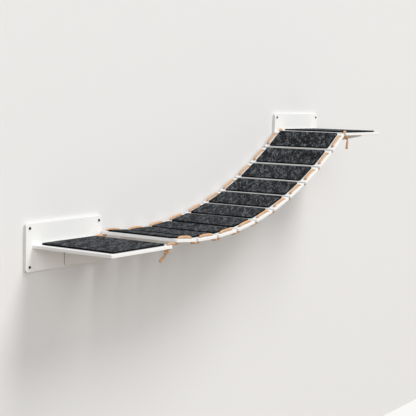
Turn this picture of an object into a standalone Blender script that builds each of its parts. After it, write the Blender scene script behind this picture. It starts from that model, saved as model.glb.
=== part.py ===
"""Cat wall bridge: two matted wall shelves, and between them a footbridge of slats on two laced ropes.

Metres, +Z up. The wall is the plane Y = 0, and the bridge stands out from it towards -Y.
The origin is the centre of the lower wall plate's back face. The bridge climbs towards +X.
"""

import math

import bmesh
import bpy
from mathutils import Matrix, Vector

# Gap between pieces that touch, how far a cutter runs past a face, and the chamfers that ease edges
CLEARANCE = 0.0003
OVERRUN = 0.002
BOARD_CHAMFER_WIDTH = 0.0008
MAT_CHAMFER_WIDTH = 0.0012
MERGE_DISTANCE = 0.00001

# Wall plate: a rounded board with one wall screw in each corner
PLATE_WIDTH = 0.340
PLATE_HEIGHT = 0.145
PLATE_THICKNESS = 0.010
PLATE_CORNER_RADIUS = 0.010
PLATE_SCREW_INSET = 0.015

# Shelf board: butts on the plate's front face, its top this far below the plate's top edge
SHELF_WIDTH = 0.285
SHELF_DEPTH = 0.300
SHELF_THICKNESS = 0.010
SHELF_DROP = 0.0655
SHELF_CORNER_RADIUS = 0.005

# Gusset: an upright triangle under the middle of the shelf
GUSSET_THICKNESS = 0.010
GUSSET_HEIGHT = 0.065
GUSSET_REACH = 0.290
GUSSET_NOSE_HEIGHT = 0.004

# Felt mat on each shelf
MAT_THICKNESS = 0.005
MAT_SIDE_MARGIN = 0.0215
MAT_END_MARGIN = 0.0135
MAT_CORNER_RADIUS = 0.006

# Slats: boards as long as the shelves are deep, each with a felt strip on top. The slats up to the open gap
# swing from the lower shelf, and the others from the upper shelf.
SLAT_COUNT = 10
OPEN_GAP_NUMBER = 5
SLAT_WIDTH = 0.104
SLAT_THICKNESS = 0.010
SLAT_CORNER_RADIUS = 0.005
SLAT_GAP = 0.010
STRIP_THICKNESS = 0.005
STRIP_EDGE_MARGIN = 0.0045
STRIP_END_MARGIN = 0.0245
STRIP_CORNER_RADIUS = 0.005

# Hang of the bridge: a loaded rope gains the same slope, as a share of rise to run, at each slat. Its first point
# lies beyond the lower shelf's edge and below the rope on that shelf, and the upper shelf beyond its last point.
FIRST_SLOPE_SHARE = -0.075
SLOPE_STEP_SHARE = 0.084
FIRST_REACH = 0.015
FIRST_FALL = 0.002
LAST_REACH = 0.0081
LAST_RISE = 0.0108

# Ropes and the holes that they are laced through
ROPE_DIAMETER = 0.008
ROPE_HOLE_DIAMETER = 0.0115
ROPE_END_INSET = 0.010
SLAT_HOLE_INSET = 0.0185
SHELF_HOLE_INSET = 0.0125

# Overhand knot under each shelf: the strand is pulled thinner, and the course is in strand spacings,
# from the hole down, once round, and out between the standing rope and the loop
KNOT_STRAND_DIAMETER = 0.0055
KNOT_STRAND_GAP = 0.0004
KNOT_COURSE_SHARES = (
    (0.00, 0.00, 0.00), (0.00, 0.00, -0.75), (0.00, 0.00, -1.55), (0.35, 0.00, -2.30),
    (1.20, 0.05, -2.50), (2.10, 0.00, -1.85), (2.05, -0.35, -0.95), (1.05, -1.00, -0.60),
    (0.00, -1.10, -0.65), (-0.87, -0.70, -0.72), (-1.10, 0.10, -0.80), (-0.75, 0.85, -0.88),
    (0.10, 1.10, -0.95), (0.85, 0.80, -1.10), (1.05, 0.00, -1.42), (1.00, -0.80, -1.75),
    (0.80, -1.25, -2.40), (0.60, -1.25, -3.10),
)
KNOT_TOP_SHARE = 0.60
KNOT_SPAN_STEPS = 2

# Tails below the knots, each point measured from the one before it, and the fused tip of each
TAIL_COURSES = {
    "lower_front": ((-0.003, 0.002, -0.007), (-0.004, 0.003, -0.006), (-0.004, 0.002, -0.005)),
    "lower_back": ((-0.002, -0.003, -0.008), (-0.003, -0.001, -0.007), (-0.002, -0.001, -0.005)),
    "upper_front": ((0.000, 0.001, -0.010), (-0.001, 0.000, -0.009), (-0.001, 0.000, -0.008)),
    "upper_back": ((0.001, -0.001, -0.010), (0.001, -0.001, -0.010), (0.000, 0.000, -0.007)),
}
TIP_LENGTH = 0.006
TIP_SHOULDER_LENGTH = 0.001
TIP_WIDTH_SHARE = 1.25

# Fasteners: black pan-head screws into the wall, and countersunk screws that join the boards
WALL_SCREW_DIAMETER = 0.0045
WALL_SCREW_LENGTH = 0.040
WALL_SCREW_HEAD_DIAMETER = 0.0085
WALL_SCREW_HEAD_HEIGHT = 0.003
BOARD_SCREW_DIAMETER = 0.0035
BOARD_SCREW_LENGTH = 0.030
BOARD_SCREW_HEAD_DIAMETER = 0.007
BOARD_SCREW_HEAD_HEIGHT = 0.0025
SCREW_TIP_LENGTH = 0.004
WALL_SCREW_CROWN_SHARES = ((0.60, 0.88), (0.93, 0.45))
SHELF_SCREW_INSET = 0.0425
GUSSET_SCREW_INSET = 0.020
TOP_SCREW_INSET = 0.080

# Fineness of round shapes
CORNER_STEPS = 3
HOLE_SIDES = 12
SCREW_SIDES = 12
ROPE_BEND_DEG = 45
SHARP_DEG = 35

rope_seat = ROPE_DIAMETER / 2 + CLEARANCE
hole_radius = ROPE_HOLE_DIAMETER / 2
pitch = SLAT_WIDTH + SLAT_GAP
shelf_top = PLATE_HEIGHT / 2 - SHELF_DROP
shelf_back = -PLATE_THICKNESS - CLEARANCE
bridge_middle = shelf_back - SHELF_DEPTH / 2
rope_spread = SHELF_DEPTH / 2 - ROPE_END_INSET


def finish(name, colour, roughness, metallic=0.0):
    """A plain Principled material."""
    material = bpy.data.materials.new(name)
    material.use_nodes = True
    shader = material.node_tree.nodes["Principled BSDF"]
    shader.inputs["Base Color"].default_value = (*colour, 1.0)
    shader.inputs["Roughness"].default_value = roughness
    shader.inputs["Metallic"].default_value = metallic
    return material


def piece(name, mesh, material, parent=None, location=(0.0, 0.0, 0.0), rotation=(0.0, 0.0, 0.0)):
    obj = bpy.data.objects.new(name, mesh)
    mesh.materials.append(material)
    bpy.context.scene.collection.objects.link(obj)
    obj.parent = parent
    obj.location = location
    obj.rotation_euler = rotation
    return obj


def marker(name, location, rotation=(0.0, 0.0, 0.0)):
    """An empty that carries a group of pieces, on the axis that the group turns about."""
    empty = bpy.data.objects.new(name, None)
    bpy.context.scene.collection.objects.link(empty)
    empty.empty_display_size = PLATE_THICKNESS
    empty.location = location
    empty.rotation_euler = rotation
    return empty


def rounded_rectangle(x_low, x_high, y_low, y_high, radius):
    """Corners of a rectangle, turned counter-clockwise, each as an arc."""
    centres = (
        (x_high - radius, y_low + radius, -90), (x_high - radius, y_high - radius, 0),
        (x_low + radius, y_high - radius, 90), (x_low + radius, y_low + radius, 180),
    )
    outline = []
    for x, y, start in centres:
        for step in range(CORNER_STEPS + 1):
            angle = math.radians(start + 90 * step / CORNER_STEPS)
            outline.append((x + radius * math.cos(angle), y + radius * math.sin(angle)))
    return outline


def slab(points, extrusion, ease):
    """A closed board: a flat outline pushed along one direction, with the edges of both faces eased."""
    mesh = bpy.data.meshes.new("slab")
    bm = bmesh.new()
    face = bm.faces.new([bm.verts.new(point) for point in points])
    pushed = bmesh.ops.extrude_face_region(bm, geom=[face])
    moved = [item for item in pushed["geom"] if isinstance(item, bmesh.types.BMVert)]
    bmesh.ops.translate(bm, vec=extrusion, verts=moved)
    bmesh.ops.recalc_face_normals(bm, faces=bm.faces)
    rims = [edge for edge in bm.edges if any(len(side.verts) == len(points) for side in edge.link_faces)]
    bmesh.ops.bevel(bm, geom=rims, offset=ease, segments=1, affect="EDGES")
    bm.to_mesh(mesh)
    bm.free()
    return mesh


def turned(profile, sides, places=(Matrix(),)):
    """A profile of (radius, height) points turned about Z, once for each place."""
    mesh = bpy.data.meshes.new("turned")
    bm = bmesh.new()
    for place in places:
        verts = [bm.verts.new((radius, 0.0, height)) for radius, height in profile]
        edges = [bm.edges.new(pair) for pair in zip(verts, verts[1:])]
        before = set(bm.verts) - set(verts)
        bmesh.ops.spin(
            bm, geom=verts + edges, cent=(0.0, 0.0, 0.0), axis=(0.0, 0.0, 1.0), angle=math.tau, steps=sides,
            use_merge=True,
        )
        made = [vert for vert in bm.verts if vert not in before]
        bmesh.ops.transform(bm, matrix=place, verts=made)
    bmesh.ops.remove_doubles(bm, verts=bm.verts, dist=MERGE_DISTANCE)
    bmesh.ops.recalc_face_normals(bm, faces=bm.faces)
    bm.to_mesh(mesh)
    bm.free()
    mesh.shade_smooth()
    mesh.set_sharp_from_angle(angle=math.radians(SHARP_DEG))
    return mesh


def cut_out(board, name, mesh, material):
    """Cuts a shape, given in the board's own frame, out of the board."""
    cutter = piece(name, mesh, material, board.parent, board.location, board.rotation_euler)
    cutter.hide_render = True
    cutter.display_type = "WIRE"
    modifier = board.modifiers.new(name, "BOOLEAN")
    modifier.operation = "DIFFERENCE"
    modifier.solver = "EXACT"
    modifier.object = cutter


def wall_screw_profile():
    """Pan head above Z = 0 and a pointed shank below it."""
    head = WALL_SCREW_HEAD_DIAMETER / 2
    shank = WALL_SCREW_DIAMETER / 2
    crown = [(head * wide, WALL_SCREW_HEAD_HEIGHT * high) for wide, high in WALL_SCREW_CROWN_SHARES]
    return (
        (0.0, WALL_SCREW_HEAD_HEIGHT), *crown, (head, 0.0), (shank, 0.0),
        (shank, SCREW_TIP_LENGTH - WALL_SCREW_LENGTH), (0.0, -WALL_SCREW_LENGTH),
    )


def board_screw_profile(grow=0.0):
    """Countersunk head flush with Z = 0 and a pointed shank below it."""
    head = BOARD_SCREW_HEAD_DIAMETER / 2 + grow
    shank = BOARD_SCREW_DIAMETER / 2 + grow
    return (
        (0.0, 0.0), (head, 0.0), (shank, -BOARD_SCREW_HEAD_HEIGHT),
        (shank, SCREW_TIP_LENGTH - BOARD_SCREW_LENGTH), (0.0, -BOARD_SCREW_LENGTH - grow),
    )


def board_screw_hole():
    """The countersunk screw's shape with room round it, open above the board."""
    profile = board_screw_profile(CLEARANCE)
    return ((0.0, OVERRUN), (profile[1][0], OVERRUN)) + profile[1:]


def bore(radius, low, high):
    """Profile of a straight hole whose flats, not its corners, lie at the radius."""
    wide = radius / math.cos(math.pi / HOLE_SIDES)
    return ((0.0, high + OVERRUN), (wide, high + OVERRUN), (wide, low - OVERRUN), (0.0, low - OVERRUN))


def at(x, y, z, turn_x_deg=0.0):
    return Matrix.Translation((x, y, z)) @ Matrix.Rotation(math.radians(turn_x_deg), 4, "X")


def seat(name, mesh, material, parent, place):
    """A piece placed by a matrix in its parent's frame."""
    return piece(name, mesh, material, parent, place.to_translation(), place.to_euler())


def wall_unit(prefix, origin, bridge_side):
    """Plate, shelf, gusset, mat and screws. bridge_side, +1 or -1 along X, is where the rope holes lie."""
    unit = marker(prefix + "_unit", origin)
    half_width = PLATE_WIDTH / 2
    half_height = PLATE_HEIGHT / 2
    shelf_bottom = shelf_top - SHELF_THICKNESS
    shelf_front = shelf_back - SHELF_DEPTH
    into_wall, out_of_plate = 90, -90

    outline = rounded_rectangle(-half_width, half_width, -half_height, half_height, PLATE_CORNER_RADIUS)
    mesh = slab([(x, 0.0, z) for x, z in outline], (0.0, -PLATE_THICKNESS, 0.0), BOARD_CHAMFER_WIDTH)
    plate = piece(prefix + "_wall_plate", mesh, paint, unit)
    corner_x = half_width - PLATE_SCREW_INSET
    corner_z = half_height - PLATE_SCREW_INSET
    corners = [(corner_x * sx, corner_z * sz) for sz in (1, -1) for sx in (-1, 1)]
    hole = bore(WALL_SCREW_DIAMETER / 2 + CLEARANCE, 0.0, PLATE_THICKNESS)
    holes = turned(hole, HOLE_SIDES, [at(x, 0.0, z, into_wall) for x, z in corners])
    cut_out(plate, prefix + "_plate_wall_holes", holes, steel)
    for number, (x, z) in enumerate(corners, 1):
        place = at(x, -PLATE_THICKNESS - CLEARANCE, z, into_wall)
        seat(f"{prefix}_wall_screw_{number}", turned(wall_screw_profile(), SCREW_SIDES), black, unit, place)

    outline = rounded_rectangle(
        -SHELF_WIDTH / 2, SHELF_WIDTH / 2, shelf_front, shelf_back, SHELF_CORNER_RADIUS)
    mesh = slab([(x, y, shelf_bottom) for x, y in outline], (0.0, 0.0, SHELF_THICKNESS), BOARD_CHAMFER_WIDTH)
    shelf = piece(prefix + "_shelf_board", mesh, paint, unit)
    hole_x = bridge_side * (SHELF_WIDTH / 2 - SHELF_HOLE_INSET)
    places = [at(hole_x, bridge_middle + side * rope_spread, 0.0) for side in (-1, 1)]
    rope_holes = turned(bore(hole_radius, shelf_bottom, shelf_top), HOLE_SIDES, places)
    cut_out(shelf, prefix + "_shelf_rope_holes", rope_holes, steel)

    gusset_top = shelf_bottom - CLEARANCE
    nose = shelf_back - GUSSET_REACH
    side = (
        (shelf_back, gusset_top), (nose, gusset_top), (nose, gusset_top - GUSSET_NOSE_HEIGHT),
        (shelf_back, gusset_top - GUSSET_HEIGHT),
    )
    left_face = [(-GUSSET_THICKNESS / 2, y, z) for y, z in side]
    mesh = slab(left_face, (GUSSET_THICKNESS, 0.0, 0.0), BOARD_CHAMFER_WIDTH)
    gusset = piece(prefix + "_gusset", mesh, paint, unit)

    outline = rounded_rectangle(
        MAT_SIDE_MARGIN - SHELF_WIDTH / 2, SHELF_WIDTH / 2 - MAT_SIDE_MARGIN,
        shelf_front + MAT_END_MARGIN, shelf_back - MAT_END_MARGIN, MAT_CORNER_RADIUS)
    underside = [(x, y, shelf_top + CLEARANCE) for x, y in outline]
    mesh = slab(underside, (0.0, 0.0, MAT_THICKNESS), MAT_CHAMFER_WIDTH)
    piece(prefix + "_shelf_mat", mesh, felt, unit)

    # Screws from behind the plate into the shelf and the gusset, and one down through the shelf
    screw_x = SHELF_WIDTH / 2 - SHELF_SCREW_INSET
    shelf_places = [at(x, 0.0, shelf_top - SHELF_THICKNESS / 2, out_of_plate) for x in (-screw_x, screw_x)]
    screw_drops = (GUSSET_SCREW_INSET, GUSSET_HEIGHT - GUSSET_SCREW_INSET)
    gusset_places = [at(0.0, 0.0, gusset_top - drop, out_of_plate) for drop in screw_drops]
    top_places = [at(0.0, shelf_back - TOP_SCREW_INSET, shelf_top)]
    joints = (
        ("shelf_screw", shelf_places, (plate, shelf)),
        ("gusset_screw", gusset_places, (plate, gusset)),
        ("top_screw", top_places, (shelf, gusset)),
    )
    for title, places, boards in joints:
        for board in boards:
            holes = turned(board_screw_hole(), HOLE_SIDES, places)
            cut_out(board, f"{board.name}_{title}_holes", holes, steel)
        for number, place in enumerate(places, 1):
            mesh = turned(board_screw_profile(), SCREW_SIDES)
            seat(f"{prefix}_{title}_{number}", mesh, steel, unit, place)
    return unit


def hanging_pivots(start):
    """The rope's points between the slats, from the first gap to the last, and each slat's tilt."""
    pivots, tilts = [Vector(start)], []
    for number in range(SLAT_COUNT):
        tilt = math.atan(FIRST_SLOPE_SHARE + SLOPE_STEP_SHARE * number)
        tilts.append(tilt)
        pivots.append(pivots[-1] + pitch * Vector((math.cos(tilt), math.sin(tilt))))
    return pivots, tilts


def slat(number, pivots, tilt):
    """A board with four rope holes and its felt strip, on an empty at the gap on its shelf's side."""
    swings_low = number <= OPEN_GAP_NUMBER
    pivot = pivots[number - 1] if swings_low else pivots[number]
    hinge = marker(f"slat_{number:02d}_hinge", (pivot.x, bridge_middle, pivot.y), (0.0, -tilt, 0.0))
    x_low = SLAT_GAP / 2 if swings_low else SLAT_GAP / 2 - pitch
    x_high = x_low + SLAT_WIDTH
    half_length = SHELF_DEPTH / 2
    outline = rounded_rectangle(x_low, x_high, -half_length, half_length, SLAT_CORNER_RADIUS)
    mesh = slab([(x, y, rope_seat) for x, y in outline], (0.0, 0.0, SLAT_THICKNESS), BOARD_CHAMFER_WIDTH)
    board = piece(f"slat_board_{number:02d}", mesh, paint, hinge)
    places = [
        at(x, side * rope_spread, 0.0)
        for x in (x_low + SLAT_HOLE_INSET, x_high - SLAT_HOLE_INSET) for side in (-1, 1)]
    holes = turned(bore(hole_radius, rope_seat, rope_seat + SLAT_THICKNESS), HOLE_SIDES, places)
    cut_out(board, f"slat_{number:02d}_rope_holes", holes, steel)
    outline = rounded_rectangle(
        x_low + STRIP_EDGE_MARGIN, x_high - STRIP_EDGE_MARGIN,
        STRIP_END_MARGIN - half_length, half_length - STRIP_END_MARGIN, STRIP_CORNER_RADIUS)
    strip_bottom = rope_seat + SLAT_THICKNESS + CLEARANCE
    mesh = slab([(x, y, strip_bottom) for x, y in outline], (0.0, 0.0, STRIP_THICKNESS), MAT_CHAMFER_WIDTH)
    piece(f"slat_mat_{number:02d}", mesh, felt, hinge)


def bend(corner, start_deg, end_deg):
    """The rope's turn about an edge: corners of the line that touches the arc rope_seat away from it."""
    count = math.ceil(abs(end_deg - start_deg) / ROPE_BEND_DEG)
    step = math.radians(end_deg - start_deg) / count
    reach = rope_seat / math.cos(step / 2)
    angles = [math.radians(start_deg) + step * (number + 0.5) for number in range(count)]
    return [Vector(corner) + reach * Vector((math.cos(angle), math.sin(angle))) for angle in angles]


def lacing(pivot, tilt):
    """The rope up through a slat's near hole, over its top and down through its far hole."""
    near = SLAT_GAP / 2 + SLAT_HOLE_INSET
    far = pitch - near
    top = rope_seat + SLAT_THICKNESS
    local = (
        bend((near - hole_radius, rope_seat), -90, 0) + bend((near + hole_radius, top), 180, 90)
        + bend((far - hole_radius, top), 90, 0) + bend((far + hole_radius, rope_seat), 180, 270)
    )
    turn = Matrix.Rotation(tilt, 2)
    return [pivot + turn @ point for point in local]


def smooth_through(points, steps):
    """Points on a Catmull-Rom curve through the given ones."""
    padded = [2 * points[0] - points[1], *points, 2 * points[-1] - points[-2]]
    curve = []
    for a, b, c, d in zip(padded, padded[1:], padded[2:], padded[3:]):
        for step in range(steps):
            t = step / steps
            curve.append(
                b + t * (c - a) / 2 + t ** 2 * (2 * a - 5 * b + 4 * c - d) / 2
                + t ** 3 * (3 * b - a - 3 * c + d) / 2)
    return curve + [points[-1]]


def knotted_end(hole_point, facing, tail):
    """Points and width shares of a knot and its tail, from the hole down. facing is +1 or -1 along X."""
    spacing = KNOT_STRAND_DIAMETER + KNOT_STRAND_GAP
    strand_share = KNOT_STRAND_DIAMETER / ROPE_DIAMETER
    top = hole_point + Vector((0.0, 0.0, KNOT_TOP_SHARE * spacing - KNOT_STRAND_DIAMETER / 2 - CLEARANCE))
    course = [
        top + spacing * Vector((facing * x, facing * y, z)) for x, y, z in KNOT_COURSE_SHARES]
    points = smooth_through(course, KNOT_SPAN_STEPS)
    shares = [strand_share] * len(points)
    for offset in tail:
        points.append(points[-1] + Vector(offset))
        shares.append(1.0)
    onward = Vector(tail[-1]).normalized()
    points += [points[-1] + TIP_SHOULDER_LENGTH * onward, points[-1] + TIP_LENGTH * onward]
    shares += [TIP_WIDTH_SHARE] * 2
    return points, shares


def rope(name, y, pivots, tilts, upper_edge, tails):
    """One rope, from the tail under the lower shelf to the tail under the upper shelf."""
    shelf_edge = SHELF_WIDTH / 2
    lower_hole = shelf_edge - SHELF_HOLE_INSET
    lower_edge = Vector((shelf_edge, shelf_top))
    fall = pivots[0] - lower_edge
    slope = math.degrees(math.atan2(fall.y, fall.x) - math.asin(rope_seat / fall.length))
    flat = bend((lower_hole + hole_radius, shelf_top), 180, 90) + bend(lower_edge, 90, slope + 90)
    for pivot, tilt in zip(pivots, tilts):
        flat += [pivot] + lacing(pivot, tilt)
    last = pivots[-1]
    rise = upper_edge - last
    slope = math.degrees(math.atan2(rise.y, rise.x) + math.asin(rope_seat / rise.length))
    flat += [last] + bend(upper_edge, slope + 90, 90)
    upper_hole = upper_edge.x + SHELF_HOLE_INSET
    flat += bend((upper_hole - hole_radius, upper_edge.y), 90, 0)

    hole_offset = hole_radius - rope_seat
    below_lower = Vector((lower_hole + hole_offset, y, shelf_top - SHELF_THICKNESS))
    below_upper = Vector((upper_hole - hole_offset, y, upper_edge.y - SHELF_THICKNESS))
    lower_end, lower_shares = knotted_end(below_lower, -1, tails[0])
    upper_end, upper_shares = knotted_end(below_upper, 1, tails[1])
    points = lower_end[::-1] + [Vector((p.x, y, p.y)) for p in flat] + upper_end
    shares = lower_shares[::-1] + [1.0] * len(flat) + upper_shares

    curve = bpy.data.curves.new(name, "CURVE")
    curve.dimensions = "3D"
    curve.bevel_depth = ROPE_DIAMETER / 2
    curve.bevel_resolution = 2
    curve.use_fill_caps = True
    spline = curve.splines.new("POLY")
    spline.points.add(len(points) - 1)
    for target, point, share in zip(spline.points, points, shares):
        target.co = (*point, 1.0)
        target.radius = share
    piece(name, curve, cord)
    print(f"{name}: least gap to itself {1000 * least_gap(points, shares):.2f} mm")


def least_gap(points, shares):
    """The smallest clear distance between stretches that lie over two diameters apart along the rope."""
    along = [0.0]
    for a, b in zip(points, points[1:]):
        along.append(along[-1] + (b - a).length)
    least = math.inf
    for i, first in enumerate(points):
        for j in range(i + 1, len(points)):
            if along[j] - along[i] > 2 * ROPE_DIAMETER:
                width = (shares[i] + shares[j]) * ROPE_DIAMETER / 2
                least = min(least, (points[j] - first).length - width)
    return least


for old in list(bpy.data.objects):
    bpy.data.objects.remove(old)

paint = finish("white_paint", (0.82, 0.82, 0.81), 0.45)
felt = finish("charcoal_felt", (0.035, 0.037, 0.042), 0.95)
cord = finish("twisted_rope", (0.55, 0.33, 0.16), 0.9)
black = finish("black_screw", (0.02, 0.02, 0.02), 0.4, 0.6)
steel = finish("plain_steel", (0.55, 0.55, 0.53), 0.35, 1.0)

slat_pivots, slat_tilts = hanging_pivots((SHELF_WIDTH / 2 + FIRST_REACH, shelf_top + rope_seat - FIRST_FALL))
upper_shelf_edge = slat_pivots[-1] + Vector((LAST_REACH, LAST_RISE))
upper_origin = (upper_shelf_edge.x + SHELF_WIDTH / 2, 0.0, upper_shelf_edge.y - shelf_top)

wall_unit("lower", (0.0, 0.0, 0.0), 1)
wall_unit("upper", upper_origin, -1)
for slat_number, slat_tilt in enumerate(slat_tilts, 1):
    slat(slat_number, slat_pivots, slat_tilt)
for rope_name, direction in (("front", -1), ("back", 1)):
    line = bridge_middle + direction * rope_spread
    tails = (TAIL_COURSES["lower_" + rope_name], TAIL_COURSES["upper_" + rope_name])
    rope(rope_name + "_rope", line, slat_pivots, slat_tilts, upper_shelf_edge, tails)
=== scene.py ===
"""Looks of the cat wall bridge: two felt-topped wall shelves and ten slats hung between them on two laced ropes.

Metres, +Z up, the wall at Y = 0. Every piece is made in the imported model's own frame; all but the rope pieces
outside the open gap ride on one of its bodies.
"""

import math

import bmesh
import bpy
import numpy as np
from mathutils import Matrix, Vector, noise


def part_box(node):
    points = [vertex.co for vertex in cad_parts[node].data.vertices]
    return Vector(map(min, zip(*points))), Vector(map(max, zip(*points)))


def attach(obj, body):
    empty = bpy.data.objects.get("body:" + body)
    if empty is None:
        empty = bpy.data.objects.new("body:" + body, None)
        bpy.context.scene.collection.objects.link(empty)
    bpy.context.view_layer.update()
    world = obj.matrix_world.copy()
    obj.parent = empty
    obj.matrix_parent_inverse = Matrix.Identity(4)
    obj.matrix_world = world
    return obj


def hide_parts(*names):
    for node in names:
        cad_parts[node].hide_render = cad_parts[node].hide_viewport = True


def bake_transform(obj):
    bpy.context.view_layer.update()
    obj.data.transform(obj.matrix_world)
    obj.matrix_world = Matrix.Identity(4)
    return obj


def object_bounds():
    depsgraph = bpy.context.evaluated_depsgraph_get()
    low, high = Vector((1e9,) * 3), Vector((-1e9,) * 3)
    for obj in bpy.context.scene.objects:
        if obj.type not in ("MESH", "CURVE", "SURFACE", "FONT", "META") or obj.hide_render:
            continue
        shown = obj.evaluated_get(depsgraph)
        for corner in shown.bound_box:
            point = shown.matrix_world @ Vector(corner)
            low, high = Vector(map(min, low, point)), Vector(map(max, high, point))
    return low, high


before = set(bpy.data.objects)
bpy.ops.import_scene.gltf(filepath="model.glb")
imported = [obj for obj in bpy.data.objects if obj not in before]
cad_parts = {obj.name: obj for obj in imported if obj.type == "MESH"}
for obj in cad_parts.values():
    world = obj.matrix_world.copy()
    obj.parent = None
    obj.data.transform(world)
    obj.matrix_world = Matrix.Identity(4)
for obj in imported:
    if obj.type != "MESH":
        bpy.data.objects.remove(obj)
cad_low, cad_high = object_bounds()


# Painted boards. All are 10 mm birch plywood, cut with rounded corners, drilled, sanded round at the edges and
# rolled with white satin paint. The first are the two wall plates: each takes a wall screw in every corner, and
# has sunk holes in its back for the screws that carry the shelf and the gusset.
WHITE = (0.84, 0.84, 0.83)
WORN_EDGE = (0.74, 0.68, 0.58, 1.0)
GREYED = (0.66, 0.66, 0.68, 1.0)
GRAIN_SHOWING = (0.60, 0.57, 0.52, 1.0)
WORN_BAND = 0.0028
WORN_THROUGH_BAND = 0.0004
ROPE_STAIN = (0.62, 0.50, 0.36, 1.0)
STAIN_RADIUS = 0.0105
STAIN_CORE_RADIUS = 0.0050
STAIN_RAGGEDNESS = 0.0030
# Painted shadow of the joint where a gusset meets its plate, and the width of that line.
PAINTED_JOINT_SHADOW = (0.10, 0.095, 0.09, 1.0)
PAINTED_JOINT_SHADOW_WIDTH = 0.0022
BOARD_EASE = 0.0011
EASE_STEPS = 3
CORNER_STEPS = 8
HOLE_SIDES = 32
SINK_WIDTH = 0.0021
SHARP_FOLD = math.radians(60)
SAME_SPOT = 0.0005
FACING_ROOM = Matrix.Rotation(math.radians(90), 4, "X")


def put(tree, kind, sockets=None, **settings):
    """A shader node; each named or numbered socket takes a value or another node's output."""
    made = tree.nodes.new(kind)
    for key, value in settings.items():
        setattr(made, key, value)
    for key, value in (sockets or {}).items():
        if isinstance(value, bpy.types.NodeSocket):
            tree.links.new(value, made.inputs[key])
        else:
            made.inputs[key].default_value = value
    return made


def mixed(tree, share, first, second):
    """A colour between two others."""
    return put(tree, "ShaderNodeMix", {0: share, 6: first, 7: second}, data_type="RGBA").outputs[2]


def maths(tree, operation, first, second=0.0, third=0.0):
    """A number from one, two or three others."""
    return put(tree, "ShaderNodeMath", {0: first, 1: second, 2: third}, operation=operation).outputs[0]


def vectors(tree, operation, first, second=(0.0, 0.0, 0.0)):
    """A vector from one or two others, or a vector's length."""
    made = put(tree, "ShaderNodeVectorMath", {0: first, 1: second}, operation=operation)
    return made.outputs["Value" if operation == "LENGTH" else "Vector"]


def ramp(tree, value, low, high, to_low=0.0, to_high=1.0):
    """A value eased from one range to another."""
    return put(
        tree, "ShaderNodeMapRange",
        {"Value": value, "From Min": low, "From Max": high, "To Min": to_low, "To Max": to_high},
        interpolation_type="SMOOTHSTEP").outputs[0]


def grains(tree, place, scale, detail=3.0, roughness=0.5, distortion=0.0):
    """Soft, even noise."""
    return put(
        tree, "ShaderNodeTexNoise",
        {"Vector": place, "Scale": scale, "Detail": detail, "Roughness": roughness, "Distortion": distortion},
    ).outputs["Fac"]


def stretched(tree, place, scales, turn_deg=0.0):
    """A place turned about Z and scaled along each axis, so that a pattern runs in one direction."""
    return put(
        tree, "ShaderNodeMapping",
        {"Vector": place, "Rotation": (0.0, 0.0, math.radians(turn_deg)), "Scale": [1 / scale for scale in scales]},
        vector_type="TEXTURE").outputs[0]


def group(name, inputs, outputs):
    """An empty node group with its sockets, and its input and output nodes."""
    tree = bpy.data.node_groups.new(name, "ShaderNodeTree")
    for title, kind in inputs:
        tree.interface.new_socket(name=title, in_out="INPUT", socket_type="NodeSocket" + kind)
    for title, kind in outputs:
        tree.interface.new_socket(name=title, in_out="OUTPUT", socket_type="NodeSocket" + kind)
    return tree, tree.nodes.new("NodeGroupInput").outputs, tree.nodes.new("NodeGroupOutput").inputs


def surface(name, sheen=0.0, **constants):
    """A new material with its Principled shader, whose constant sockets are set here."""
    material = bpy.data.materials.new(name)
    material.use_nodes = True
    shader = material.node_tree.nodes["Principled BSDF"]
    for key, value in constants.items():
        shader.inputs[key.replace("_", " ")].default_value = value
    shader.inputs["Sheen Weight"].default_value = sheen
    return material, material.node_tree, shader.inputs


def embossed(tree, shader, height, strength, distance):
    """Makes a height show as relief on a shader."""
    bump = put(tree, "ShaderNodeBump", {"Height": height, "Strength": strength, "Distance": distance})
    tree.links.new(bump.outputs[0], shader["Normal"])


def own_place(tree, attribute):
    """Each point's place on its own piece, kept before the piece was set in the frame."""
    return put(tree, "ShaderNodeAttribute", attribute_name=attribute).outputs["Vector"]


def rolled_paint_group():
    """Satin paint from a roller: fine stipple, wood grain that telegraphs faintly, and thin, warmer edges."""
    tree, inside, outside = group(
        "rolled_paint",
        [("Place", "Vector"), ("Half Size", "Vector"), ("Colour", "Color")],
        [("Colour", "Color"), ("Roughness", "Float"), ("Height", "Float")])
    place = inside["Place"]
    stipple = grains(tree, place, scale=620.0, detail=2.0, roughness=0.6)
    clouds = grains(tree, place, scale=14.0)
    along_grain = stretched(tree, place, (3.0, 260.0, 260.0), turn_deg=3.0)
    grain = grains(tree, along_grain, scale=1.0, roughness=0.6, distortion=0.3)
    past_edge = vectors(tree, "SUBTRACT", vectors(tree, "ABSOLUTE", place), inside["Half Size"])
    split = put(tree, "ShaderNodeSeparateXYZ", {0: past_edge}).outputs
    edge = ramp(tree, maths(tree, "MAXIMUM", split[0], split[1]), -WORN_BAND, -WORN_THROUGH_BAND)
    patches = ramp(tree, grains(tree, place, scale=210.0, detail=4.0, roughness=0.65), 0.46, 0.72)
    worn = maths(tree, "MULTIPLY", maths(tree, "MULTIPLY", edge, patches), 0.16)
    warm = mixed(tree, worn, inside["Colour"], WORN_EDGE)
    tinted = mixed(tree, ramp(tree, clouds, 0.35, 0.75, to_high=0.06), warm, GREYED)
    grained = mixed(tree, ramp(tree, grain, 0.5, 0.8, to_high=0.05), tinted, GRAIN_SHOWING)
    tree.links.new(grained, outside["Colour"])
    rough = maths(tree, "MULTIPLY_ADD", clouds, 0.14, 0.34)
    tree.links.new(maths(tree, "MULTIPLY_ADD", stipple, 0.10, rough), outside["Roughness"])
    tall = maths(tree, "MULTIPLY_ADD", grain, 0.45, maths(tree, "MULTIPLY", stipple, 0.55))
    tree.links.new(tall, outside["Height"])
    return tree


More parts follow.
